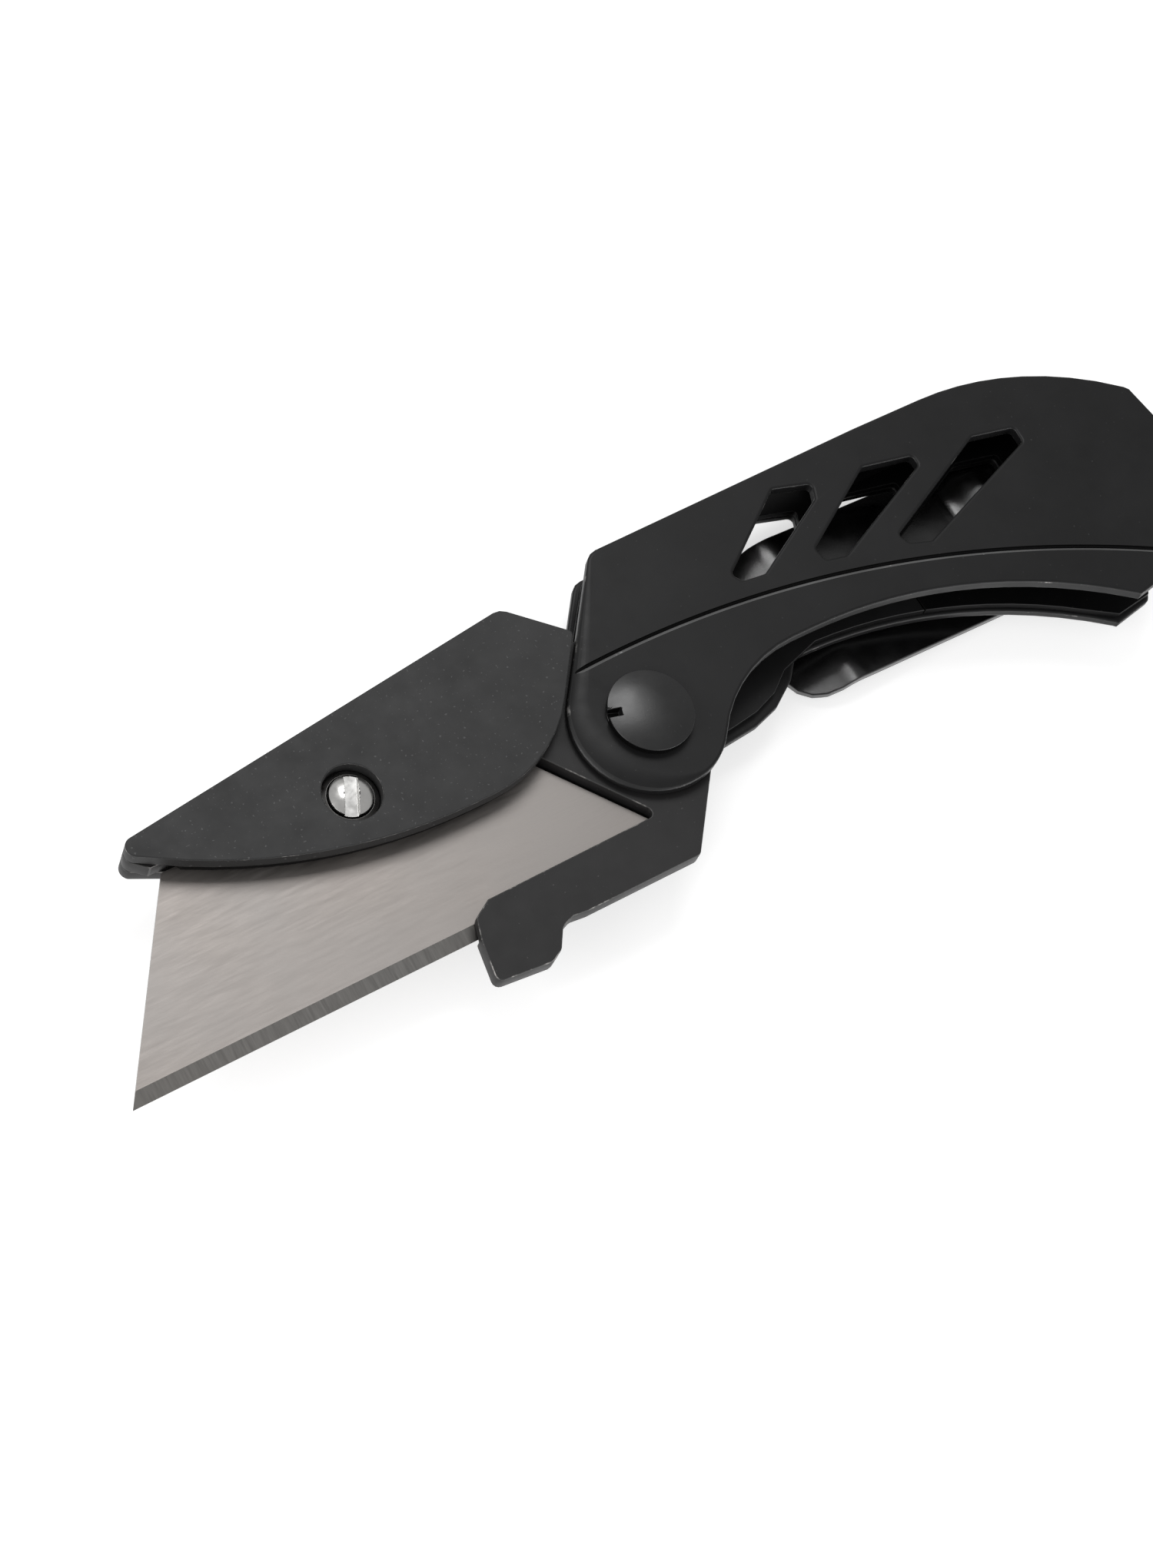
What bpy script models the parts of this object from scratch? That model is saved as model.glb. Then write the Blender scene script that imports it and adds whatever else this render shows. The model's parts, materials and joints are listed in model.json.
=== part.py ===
"""Folding utility knife, open, lying on its pocket clip.

The outlines are drawn about the pivot, with +X towards the butt along the straight spine,
+Y towards the spine and +Z towards the front scale. Sizes are in millimetres.
"""

import bmesh
import bpy
from math import acos, asin, atan2, cos, degrees, hypot, pi, radians, sin, sqrt

MM = 0.001
ARC_STEP = 7.5
LAYER_GAP = 0.1
FIT_GAP = 0.35
RECESS_GAP = 0.45

# The pivot's place in the object's own frame, whose origin is under the middle of its box.
PIVOT_X = -3.75
PIVOT_Y = -0.65

# The layers, from the clip's lowest point upwards.
REAR_SCALE_Z = 3.2
SCALE_THICK = 1.2
LINER_THICK = 0.8
WASHER_THICK = 0.15
REAR_PLATE_THICK = 1.5
BODY_THICK = 1.75
BLADE_THICK = 0.6
CLIP_THICK = 1.0

LINER_Z = REAR_SCALE_Z + SCALE_THICK + LAYER_GAP
LINER_TOP = LINER_Z + LINER_THICK
REAR_WASHER_Z = LINER_TOP + LAYER_GAP
REAR_PLATE_Z = REAR_WASHER_Z + WASHER_THICK + LAYER_GAP
REAR_PLATE_TOP = REAR_PLATE_Z + REAR_PLATE_THICK
BODY_Z = REAR_PLATE_TOP + LAYER_GAP
BODY_TOP = BODY_Z + BODY_THICK
FRONT_WASHER_Z = BODY_TOP + LAYER_GAP
FRONT_SCALE_Z = FRONT_WASHER_Z + WASHER_THICK + LAYER_GAP
FRONT_TOP = FRONT_SCALE_Z + SCALE_THICK
COVER_Z = BODY_TOP + LAYER_GAP
CLAMP_Z = BODY_Z + BLADE_THICK + LAYER_GAP

# Handle outline.
PIVOT_END_R = 8.0
LEFT_EDGE_ANGLE = 50.5
SPINE_Y = 18.6
SPINE_FRONT_Y = 17.9
SPINE_FRONT_X = 4.6
SPINE_BEND_X = 38.5
SPINE_ARC_X = 47.5
SPINE_ARC_R = 35.0
BUTT_TOP = (70.3, 10.0)
BUTT_RIGHT = (71.1, 4.5)
BUTT_LOW = (60.6, -10.2)
BUTT_TIP = (55.8, -11.0)
BELLY_Y = 0.9
THROAT_X = 18.5
BELLY_X = 21.0
BELLY_R = 57.0
# The throat arc touches the round pivot end, and its top is level with the belly's.
THROAT_R = (THROAT_X ** 2 + BELLY_Y ** 2 - PIVOT_END_R ** 2) / (2 * (PIVOT_END_R + BELLY_Y))
BELLY_END_X = 55.5
CORNER_R = 0.8
FRONT_CORNER_R = 1.7

# The three slanted slots, each from its left end along the upper edge and back along the lower one.
SLOTS = [
    [(16.7, 9.6), (26.3, 16.1), (30.6, 14.9), (29.9, 13.3), (20.0, 8.2), (17.4, 8.5)],
    [(26.5, 8.4), (36.8, 14.3), (42.6, 13.2), (42.6, 12.0), (29.1, 6.3), (26.8, 6.8)],
    [(35.6, 6.0), (50.1, 12.4), (55.1, 11.4), (55.0, 9.6), (38.6, 3.9), (36.2, 4.7)],
]
SLOT_CORNER_R = 0.5
GROOVE_R = 121.0
GROOVE_TOP = (3.0, 7.3)
GROOVE_WIDTH = 0.45
GROOVE_DEPTH = 0.3

# Rear bump that the thumb finds, and the lock leaf's tab in front of it.
BUMP = [(8.2, -4.3), (12.8, -3.9), (16.0, -3.0), (19.1, -1.1)]
TAB = [(6.9, -3.5), (10.2, -3.2), (13.2, -2.8), (16.2, -1.8), (18.6, -0.1)]
LEAF_ROOT_X = 36.5
LEAF_TIP_X = 6.5
LEAF_WIDTH_Y = 2.8
LEAF_SLIT = 0.5
LINER_INSET = 0.4

# Blade and carrier.
BLADE_LONG = 61.0
BLADE_BACK = 33.5
BLADE_HIGH = 19.0
BLADE_TIP = (-63.6, -11.8)
BEVEL_WIDTH = 1.45
EDGE_THICK = 0.06
NOTCH_SPACING = 5.4
NOTCH_WIDTH = 3.4
NOTCH_DEEP = 3.3
SCREW_AT = (-30.6, 5.6)
FIN_TIP = (-51.5, 9.6)
FIN_TIP_R = 1.05
FIN_SLOPE = 7.4
FIN_SHOULDER = (-7.2, 16.3)
FIN_CORNER = (-1.75, 11.0)
WINDOW_R = 2.95
NUT_R = 2.2
TANG_R = 7.7
LOCK_FACE_X = 6.1
STOP_PIN_R = 0.8
STOP_TRACK_R = 4.3
STOP_PIN_ANGLE = 100.0
FOLD_ANGLE = 180.0
LIP_Y = -8.9
LIP_LOW_Y = -14.4
HOOK = [(-24.2, -9.1), (-26.2, -10.2), (-27.0, -12.4), (-27.9, -16.7), (-22.0, -17.3)]
HOOK += [(-20.6, -16.6), (-19.2, -14.7), (-17.8, -14.2), (-16.0, -14.4)]
HOOK_CORNER_R = 0.7
LEAF_RELIEF = [(-27.2, -4.5), (-6.1, -4.5), (-6.1, 5.2), (-27.2, 5.2)]
LEAF_RELIEF_DEPTH = 1.05
RIVET_DEPTH = 0.95

# Turned parts.
BARREL_R = 2.0
PIVOT_HOLE_R = 2.15
PIVOT_BORE_R = 1.45
PIVOT_SHANK_R = 1.3
PIVOT_HEAD_R = 4.4
PIVOT_HEAD_HIGH = 1.55
BARREL_FLANGE_R = 4.0
BARREL_FLANGE_THICK = 0.8
WASHER_R = 3.2
PIVOT_RIM_HIGH = 0.9
PIVOT_NOTCH = (1.35, 0.85)
PIVOT_NOTCH_ANGLE = -20.0
CLIP_SCREWS = [(61.0, 0.5), (61.0, 10.5)]
SPACER_SCREWS = [(36.5, 16.5), (49.5, 16.5), (67.9, 6.6)]
SPACER_LEFT_X = 33.0
SPACER_WIDTH = 3.2
SPACER_INNER = [(60.0, 12.6), (50.0, 14.9)]
SPACER_LOW_Y = 1.0
SPINE_INSET = 0.5
# The blade's point swings past the butt at 64.7 from the pivot, so the spacer stays outside this.
POINT_SWEEP_R = 65.6
SCREW_SHANK_R = 0.95
SCREW_HOLE_R = 1.1
SCREW_HEAD_R = 1.9
SCREW_HEAD_HIGH = 0.7
SPACER_BITE = 2.4
SOCKET_R = 0.7
SOCKET_DEPTH = 0.5
BLADE_HEAD_R = 2.15
BLADE_SHANK_R = 1.3
BLADE_SHANK_HOLE_R = 1.45
DRIVER_SLOT = (1.35, 6.0, 0.85)
DRIVER_SLOT_ANGLE = -28.0
RING_R = (2.3, 2.85)
RING_HIGH = (0.4, 0.15)
RIVET_R = 0.9
RIVETS = [(-42.5, 9.6), (-19.0, 11.2), (-8.0, 12.2)]
BALL_R = 0.5
BALL_AT = (10.5, 0.4)

# Clip.
CLIP_LOW_Y = -3.6
CLIP_TOP_Y = 14.4
CLIP_END_X = 20.3
CLIP_CORNER_R = 2.6
CLIP_ROOT_X = 54.0
CLIP_SEAM = 0.2
CLIP_BUTT = [(61.0, 14.4), (65.2, 11.5), (65.2, 1.5), (62.0, -3.6)]
CLIP_BUTT_X = 65.8

COLORS = {
    "black_steel": ((0.028, 0.028, 0.030), 0.42, 0.55),
    "blade_steel": ((0.42, 0.40, 0.38), 0.32, 1.0),
    "bright_steel": ((0.62, 0.62, 0.61), 0.22, 1.0),
    "brass": ((0.62, 0.44, 0.18), 0.35, 1.0),
}


def clear_scene():
    for obj in list(bpy.data.objects):
        bpy.data.objects.remove(obj, do_unlink=True)


def new_collection(name):
    made = bpy.data.collections.new(name)
    bpy.context.scene.collection.children.link(made)
    return made


def new_material(name, kind):
    color, roughness, metallic = COLORS[kind]
    material = bpy.data.materials.new(name)
    material.use_nodes = True
    shader = material.node_tree.nodes["Principled BSDF"]
    shader.inputs["Base Color"].default_value = (*color, 1.0)
    shader.inputs["Roughness"].default_value = roughness
    shader.inputs["Metallic"].default_value = metallic
    return material


def arc(center, radius, start, end):
    """Points from start to end, in degrees, both included."""
    count = max(2, round(abs(end - start) / ARC_STEP))
    angles = [radians(start + (end - start) * i / count) for i in range(count + 1)]
    return [(center[0] + radius * cos(a), center[1] + radius * sin(a)) for a in angles]


def flat_arc(center, radius, x_start, x_end, side, pieces):
    """Points of a shallow arc between two x values; side is 1 for its upper half, -1 for its lower."""
    points = []
    for i in range(pieces + 1):
        x = x_start + (x_end - x_start) * i / pieces
        points.append((x, center[1] + side * sqrt(radius ** 2 - (x - center[0]) ** 2)))
    return points


def rounded(corners, radius):
    """The closed outline through the corners, each one rounded off."""
    points = []
    count = len(corners)
    for i, corner in enumerate(corners):
        points += fillet(corners[i - 1], corner, corners[(i + 1) % count], radius)
    return points


def fillet(before, corner, after, radius):
    """The points of the arc that rounds one corner."""
    to_a = (before[0] - corner[0], before[1] - corner[1])
    to_b = (after[0] - corner[0], after[1] - corner[1])
    long_a, long_b = hypot(*to_a), hypot(*to_b)
    ua = (to_a[0] / long_a, to_a[1] / long_a)
    ub = (to_b[0] / long_b, to_b[1] / long_b)
    half = acos(max(-1.0, min(1.0, ua[0] * ub[0] + ua[1] * ub[1]))) / 2
    reach = min(radius / max(sin(half) / cos(half), 1e-6), 0.45 * long_a, 0.45 * long_b)
    real = reach * sin(half) / cos(half)
    middle = (ua[0] + ub[0], ua[1] + ub[1])
    size = hypot(*middle)
    far = real / sin(half)
    center = (corner[0] + middle[0] / size * far, corner[1] + middle[1] / size * far)
    start = (corner[0] + ua[0] * reach, corner[1] + ua[1] * reach)
    end = (corner[0] + ub[0] * reach, corner[1] + ub[1] * reach)
    a0 = degrees(atan2(start[1] - center[1], start[0] - center[0]))
    a1 = degrees(atan2(end[1] - center[1], end[0] - center[0]))
    turn = (a1 - a0 + 180) % 360 - 180
    steps = max(1, round(abs(turn) / 22.5))
    angles = [radians(a0 + turn * i / steps) for i in range(steps + 1)]
    return [(center[0] + real * cos(a), center[1] + real * sin(a)) for a in angles]


def half_turn(points):
    return [(-x, -y) for x, y in points]


def circle(center, radius, sides=24):
    angles = [2 * pi * i / sides for i in range(sides)]
    return [(center[0] + radius * cos(a), center[1] + radius * sin(a)) for a in angles]


def as_mesh(curve_object, collection):
    """Replaces a curve object by a welded mesh object of the same name and place."""
    graph = bpy.context.evaluated_depsgraph_get()
    mesh = bpy.data.meshes.new_from_object(curve_object.evaluated_get(graph))
    name = curve_object.name
    place = curve_object.matrix_world.copy()
    bpy.data.objects.remove(curve_object, do_unlink=True)
    welded = bmesh.new()
    welded.from_mesh(mesh)
    bmesh.ops.remove_doubles(welded, verts=welded.verts, dist=0.002 * MM)
    bmesh.ops.recalc_face_normals(welded, faces=welded.faces)
    welded.to_mesh(mesh)
    welded.free()
    solid = bpy.data.objects.new(name, mesh)
    solid.matrix_world = place
    collection.objects.link(solid)
    return solid


def plate(name, loops, bottom, top, collection, center=(0.0, 0.0)):
    """A flat plate with holes: the first loop is its outline, the others are its holes."""
    curve = bpy.data.curves.new(name, "CURVE")
    curve.dimensions = "2D"
    curve.fill_mode = "BOTH"
    curve.extrude = (top - bottom) / 2 * MM
    for loop in loops:
        spline = curve.splines.new("POLY")
        spline.points.add(len(loop) - 1)
        spline.use_cyclic_u = True
        for point, (x, y) in zip(spline.points, loop):
            point.co = ((x - center[0]) * MM, (y - center[1]) * MM, 0.0, 1.0)
    drawn = bpy.data.objects.new(name, curve)
    x, y = PIVOT_X + center[0], PIVOT_Y + center[1]
    drawn.location = (x * MM, y * MM, (bottom + top) / 2 * MM)
    collection.objects.link(drawn)
    bpy.context.view_layer.update()
    return as_mesh(drawn, collection)


def turned(name, profile, center, collection, steps=24):
    """A solid of revolution about Z: the profile is (radius, z) from the top down its outer side."""
    mesh = bpy.data.meshes.new(name)
    points = [(r * MM, 0.0, z * MM) for r, z in profile]
    edges = [(i, i + 1) for i in range(len(points) - 1)]
    if profile[0][0] > 0:
        edges.append((len(points) - 1, 0))
    mesh.from_pydata(points, edges, [])
    solid = bpy.data.objects.new(name, mesh)
    solid.location = ((PIVOT_X + center[0]) * MM, (PIVOT_Y + center[1]) * MM, 0.0)
    screw = solid.modifiers.new("turn", "SCREW")
    screw.steps = steps
    screw.render_steps = steps
    screw.use_merge_vertices = True
    screw.merge_threshold = 0.00001
    collection.objects.link(solid)
    return solid


def cut(solid, cutter, operation="DIFFERENCE"):
    boolean = solid.modifiers.new(cutter.name, "BOOLEAN")
    boolean.operation = operation
    boolean.object = cutter
    boolean.solver = "EXACT"


def as_cutter(obj):
    obj.hide_render = True
    obj.display_type = "WIRE"
    return obj


def finish(obj, kind):
    obj.data.materials.clear()
    obj.data.materials.append(new_material(obj.name, kind))


def belly(gap=0.0):
    """The handle's lower edge from the round pivot end to the butt, moved down by gap."""
    throat_center = (THROAT_X, BELLY_Y - THROAT_R)
    touch = degrees(atan2(-throat_center[1], -throat_center[0]))
    throat = arc(throat_center, THROAT_R - gap, touch, 90.0)
    belly_center = (BELLY_X, BELLY_Y - BELLY_R)
    return throat + flat_arc(belly_center, BELLY_R - gap, BELLY_X, BELLY_END_X, 1, 14)


def pivot_end(radius, start, end):
    return arc((0.0, 0.0), radius, start, end)


def spine(inset=0.0, right_x=69.9):
    """The handle's top edge moved in by inset, from the butt to the front corner."""
    center = (SPINE_ARC_X, SPINE_Y - SPINE_ARC_R)
    curve = flat_arc(center, SPINE_ARC_R - inset, right_x, SPINE_ARC_X, 1, 9)
    slope = radians(LEFT_EDGE_ANGLE)
    corner = (SPINE_FRONT_X + 1.2 * inset, SPINE_FRONT_Y - inset)
    below = (corner[0] - 6.0 * cos(slope), corner[1] - 6.0 * sin(slope))
    bend = (SPINE_BEND_X, SPINE_Y - inset)
    return curve + [bend] + fillet(bend, corner, below, FRONT_CORNER_R)


def throat_angle():
    return degrees(atan2(BELLY_Y - THROAT_R, THROAT_X))


def butt():
    low = fillet(BUTT_TIP, BUTT_LOW, BUTT_RIGHT, CORNER_R)
    high = fillet(BUTT_LOW, BUTT_RIGHT, BUTT_TOP, CORNER_R)
    return [BUTT_TIP] + low + high + [BUTT_TOP]


def handle_outline(lower):
    """A scale's outline, anticlockwise from the pivot end's far side, with this lower edge."""
    end = pivot_end(PIVOT_END_R, LEFT_EDGE_ANGLE + 90.0, throat_angle() + 360.0)
    return end + lower + butt() + spine()


def bumped_belly():
    """The belly with the thumb bump in place of its throat."""
    return BUMP + [p for p in belly() if p[0] >= BELLY_X]


def slot_loops():
    return [rounded(slot, SLOT_CORNER_R) for slot in SLOTS]


def groove_cutter(cutters):
    center = (GROOVE_TOP[0], GROOVE_TOP[1] - GROOVE_R)
    upper = flat_arc(center, GROOVE_R + GROOVE_WIDTH / 2, -6.0, 68.0, 1, 30)
    lower = flat_arc(center, GROOVE_R - GROOVE_WIDTH / 2, 68.0, -6.0, 1, 30)
    bottom = FRONT_TOP - GROOVE_DEPTH
    return as_cutter(plate("groove_cutter", [upper + lower], bottom, FRONT_TOP + 1.0, cutters))


def screw_holes():
    """The holes of the screws that are driven from the rear."""
    return [circle(at, SCREW_HOLE_R, 16) for at in CLIP_SCREWS + SPACER_SCREWS]


def make_scales(parts, cutters):
    pivot_hole = circle((0.0, 0.0), PIVOT_HOLE_R)
    front_loops = [handle_outline(belly()[1:]), pivot_hole] + slot_loops()
    front = plate("front_scale", front_loops, FRONT_SCALE_Z, FRONT_TOP, parts)
    cut(front, groove_cutter(cutters))
    finish(front, "black_steel")
    rear_loops = [handle_outline(bumped_belly()), pivot_hole] + slot_loops() + screw_holes()
    rear = plate("rear_scale", rear_loops, REAR_SCALE_Z, REAR_SCALE_Z + SCALE_THICK, parts)
    finish(rear, "black_steel")


def liner_butt():
    """The liner's outline round the butt, a little inside the scales."""
    inset = LINER_INSET
    tip = (BUTT_TIP[0] + 0.1, BUTT_TIP[1] + 1.6 * inset)
    low = (BUTT_LOW[0] - 0.2, BUTT_LOW[1] + inset)
    return [tip, low, (BUTT_RIGHT[0] - inset, BUTT_RIGHT[1])]


def belly_height(x):
    """The height of the belly's edge at x, right of its highest point."""
    return BELLY_Y - BELLY_R + sqrt(BELLY_R ** 2 - (x - BELLY_X) ** 2)


def make_liner(parts):
    # The leaf is freed from the liner by a slit along its upper side, round its tip and across its root.
    slit_x, slit_y = LEAF_TIP_X - LEAF_SLIT, LEAF_WIDTH_Y + LEAF_SLIT
    end = pivot_end(PIVOT_END_R - LINER_INSET, LEFT_EDGE_ANGLE + 90.0, 320.0)
    end = [p for p in end if p[0] < slit_x - 0.3]
    step = [(slit_x, -4.5), (slit_x, slit_y), (LEAF_ROOT_X, slit_y)]
    root = [(LEAF_ROOT_X, belly_height(LEAF_ROOT_X) + LINER_INSET)]
    root += [(x, y + LINER_INSET) for x, y in belly() if LEAF_ROOT_X + 1 < x < BUTT_TIP[0] - 1]
    outline = end + step + root + liner_butt() + spine(LINER_INSET, 69.2)
    loops = [outline, circle((0.0, 0.0), PIVOT_HOLE_R)] + slot_loops() + screw_holes()
    finish(plate("lock_liner", loops, LINER_Z, LINER_TOP, parts), "black_steel")


def make_leaf(parts):
    root_x = LEAF_ROOT_X - 0.15
    lower = [(x, y + LINER_INSET) for x, y in belly() if BELLY_X < x < LEAF_ROOT_X - 2]
    outline = [(LEAF_TIP_X, LEAF_WIDTH_Y), (LEAF_TIP_X, -3.0)] + TAB + lower
    outline += [(root_x, belly_height(root_x) + LINER_INSET), (root_x, LEAF_WIDTH_Y)]
    ball_hole = circle(BALL_AT, BALL_R + LAYER_GAP, 16)
    leaf = plate("lock_leaf", [outline, ball_hole], LINER_Z, LINER_TOP, parts, center=(root_x, 0.0))
    finish(leaf, "black_steel")
    ball = turned("detent_ball", ball_profile(LINER_TOP + 0.25 - BALL_R), BALL_AT, parts, 16)
    finish(ball, "bright_steel")


def ball_profile(z):
    return [(BALL_R * sin(pi * i / 10), z + BALL_R * cos(pi * i / 10)) for i in range(11)]


def dome(radius, rim, top, pieces):
    """The profile of a ball-shaped head from its middle out, between the heights of its top and its rim."""
    high = top - rim
    ball = (radius ** 2 + high ** 2) / (2 * high)
    half = asin(radius / ball)
    angles = [half * i / pieces for i in range(pieces + 1)]
    return [(ball * sin(a), top - ball * (1 - cos(a))) for a in angles]


def make_pivot(parts, cutters):
    seat = FRONT_TOP + LAYER_GAP
    rim = seat + PIVOT_RIM_HIGH
    end = REAR_SCALE_Z + 1.0
    profile = dome(PIVOT_HEAD_R, rim, seat + PIVOT_HEAD_HIGH, 6)
    profile += [(PIVOT_HEAD_R, seat), (PIVOT_SHANK_R, seat), (PIVOT_SHANK_R, end), (0.0, end)]
    screw = turned("pivot_screw", profile, (0.0, 0.0), parts, 32)
    cut(screw, pivot_notch(seat + LAYER_GAP, cutters))
    finish(screw, "black_steel")
    low = REAR_SCALE_Z - LAYER_GAP
    bottom = low - BARREL_FLANGE_THICK
    top = FRONT_TOP - 0.15
    barrel = [(PIVOT_BORE_R, top), (BARREL_R, top), (BARREL_R, low), (BARREL_FLANGE_R, low)]
    barrel += [(BARREL_FLANGE_R, bottom + 0.2), (BARREL_FLANGE_R - 0.3, bottom), (PIVOT_BORE_R, bottom)]
    finish(turned("pivot_barrel", barrel, (0.0, 0.0), parts, 32), "black_steel")
    for name, z in (("rear_washer", REAR_WASHER_Z), ("front_washer", FRONT_WASHER_Z)):
        inner, outer, top = PIVOT_HOLE_R, WASHER_R, z + WASHER_THICK
        ring = [(inner, top), (outer, top), (outer, z), (inner, z)]
        finish(turned(name, ring, (0.0, 0.0), parts), "brass")


def pivot_notch(bottom, cutters):
    """The cutter of the square notch in the pivot head's rim."""
    deep, wide = PIVOT_NOTCH
    turn = radians(PIVOT_NOTCH_ANGLE)
    left, right = -PIVOT_HEAD_R - 1.0, -PIVOT_HEAD_R + deep
    corners = [(left, -wide / 2), (right, -wide / 2), (right, wide / 2), (left, wide / 2)]
    corners = [(x * cos(turn) - y * sin(turn), x * sin(turn) + y * cos(turn)) for x, y in corners]
    return as_cutter(plate("pivot_notch_cutter", [corners], bottom, bottom + 3.0, cutters))


def stop_place():
    angle = radians(STOP_PIN_ANGLE)
    return (STOP_TRACK_R * cos(angle), STOP_TRACK_R * sin(angle))


def make_frame_hardware(parts, cutters):
    room_low, room_high = LINER_TOP + LAYER_GAP, FRONT_SCALE_Z - LAYER_GAP
    pin = [(0.0, room_high), (STOP_PIN_R, room_high), (STOP_PIN_R, room_low), (0.0, room_low)]
    finish(turned("stop_pin", pin, stop_place(), parts, 20), "bright_steel")
    clip_seat = REAR_SCALE_Z - 2 * LAYER_GAP - CLIP_THICK
    for i, at in enumerate(CLIP_SCREWS, 1):
        screw = rear_screw(f"clip_screw_{i}", at, clip_seat, LINER_TOP - LAYER_GAP, parts, cutters)
        finish(screw, "black_steel")
    for i, at in enumerate(SPACER_SCREWS, 1):
        seat, top = REAR_SCALE_Z - LAYER_GAP, LINER_TOP + SPACER_BITE
        finish(rear_screw(f"spacer_screw_{i}", at, seat, top, parts, cutters), "black_steel")
    finish(back_spacer(room_low, room_high, parts), "black_steel")


def rear_screw(name, at, seat, top, parts, cutters):
    """A button screw driven from the rear, with its head under seat and a six-sided socket."""
    bottom = seat - SCREW_HEAD_HIGH
    profile = [(0.0, top), (SCREW_SHANK_R, top), (SCREW_SHANK_R, seat), (SCREW_HEAD_R, seat)]
    profile += [(SCREW_HEAD_R, seat - 0.25), (SCREW_HEAD_R * 0.8, seat - 0.55)]
    profile += [(SCREW_HEAD_R * 0.45, bottom), (0.0, bottom)]
    screw = turned(name, profile, at, parts, 16)
    hexagon = circle(at, SOCKET_R, 6)
    socket = plate(name + "_cutter", [hexagon], bottom - 1.0, bottom + SOCKET_DEPTH, cutters, center=at)
    cut(screw, as_cutter(socket))
    return screw


def back_spacer(low, high, parts):
    """A strip between the liner and the front scale, along the spine and round the butt."""
    run_x, run_y = BUTT_RIGHT[0] - BUTT_LOW[0], BUTT_RIGHT[1] - BUTT_LOW[1]
    butt_long = hypot(run_x, run_y)
    right = (BUTT_RIGHT[0] - SPINE_INSET, BUTT_RIGHT[1])
    foot_x = right[0] - (right[1] - SPACER_LOW_Y) * run_x / run_y - SPINE_INSET * run_x / butt_long
    high_angle = degrees(atan2(SPACER_INNER[0][1], POINT_SWEEP_R))
    low_angle = degrees(atan2(SPACER_LOW_Y, POINT_SWEEP_R))
    outer = [right] + [p for p in spine(SPINE_INSET, 69.2) if p[0] > SPACER_LEFT_X]
    top, bottom = SPINE_Y - SPINE_INSET, SPINE_Y - SPINE_INSET - SPACER_WIDTH
    left = [(SPACER_LEFT_X, top), (SPACER_LEFT_X, bottom)]
    inner = SPACER_INNER[::-1] + pivot_end(POINT_SWEEP_R, high_angle, low_angle)
    outline = [(foot_x, SPACER_LOW_Y)] + outer + left + inner
    loops = [outline] + [circle(at, SCREW_SHANK_R + LAYER_GAP, 16) for at in SPACER_SCREWS]
    return plate("back_spacer", loops, low, high, parts)


def fin_top(x):
    """The fin's straight upper edge."""
    return FIN_SHOULDER[1] + (x - FIN_SHOULDER[0]) * sin(radians(FIN_SLOPE)) / cos(radians(FIN_SLOPE))


def fin_lower(gap):
    """The fin's lower edge, which lies along the belly with a gap when the knife is closed."""
    return [p for p in half_turn(belly(gap)) if p[0] > FIN_TIP[0] + 1.2]


def fin_nose():
    """The fin's rounded tip, from its lower side up to its top edge."""
    return arc(FIN_TIP, FIN_TIP_R, 232.0, 100.0)


def fin_outline(gap):
    """The cover: along its lower edge to the tip, back along the top, then down the handle's side."""
    side = radians(LEFT_EDGE_ANGLE)
    start = radians(LEFT_EDGE_ANGLE + 90.0)
    radius = PIVOT_END_R + FIT_GAP
    foot = (radius * cos(start), radius * sin(start))
    corner = (foot[0] + 7.4 * cos(side), foot[1] + 7.4 * sin(side))
    corner_arc = fillet(FIN_SHOULDER, corner, foot, 0.5)
    shoulder_arc = fillet((-20.0, fin_top(-20.0)), FIN_SHOULDER, corner, 1.6)
    return fin_lower(gap) + fin_nose() + shoulder_arc + corner_arc + [foot]


def blade_outline(gap=0.0):
    """The blade's four corners, anticlockwise from its point, grown by gap."""
    x, y = BLADE_TIP
    overhang = (BLADE_LONG - BLADE_BACK) / 2
    end = hypot(overhang, BLADE_HIGH)
    side = gap * (end + overhang) / BLADE_HIGH
    top_side = gap * (end - overhang) / BLADE_HIGH
    low = [(x - side, y - gap), (x + BLADE_LONG + side, y - gap)]
    right, left = x + BLADE_LONG - overhang, x + overhang
    return low + [(right + top_side, y + BLADE_HIGH + gap), (left - top_side, y + BLADE_HIGH + gap)]


def notched_blade():
    """The blade with the two round-bottomed notches in its back."""
    low_left, low_right, high_right, high_left = blade_outline()
    middle = (high_right[0] + high_left[0]) / 2
    back = high_left[1]
    points = [low_left, low_right, high_right]
    for x in (middle + NOTCH_SPACING / 2, middle - NOTCH_SPACING / 2):
        half = NOTCH_WIDTH / 2
        points += [(x + half, back)]
        points += arc((x, back - NOTCH_DEEP + half), half, 0.0, -180.0)[::3]
        points += [(x - half, back)]
    return points + [high_left]


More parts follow.
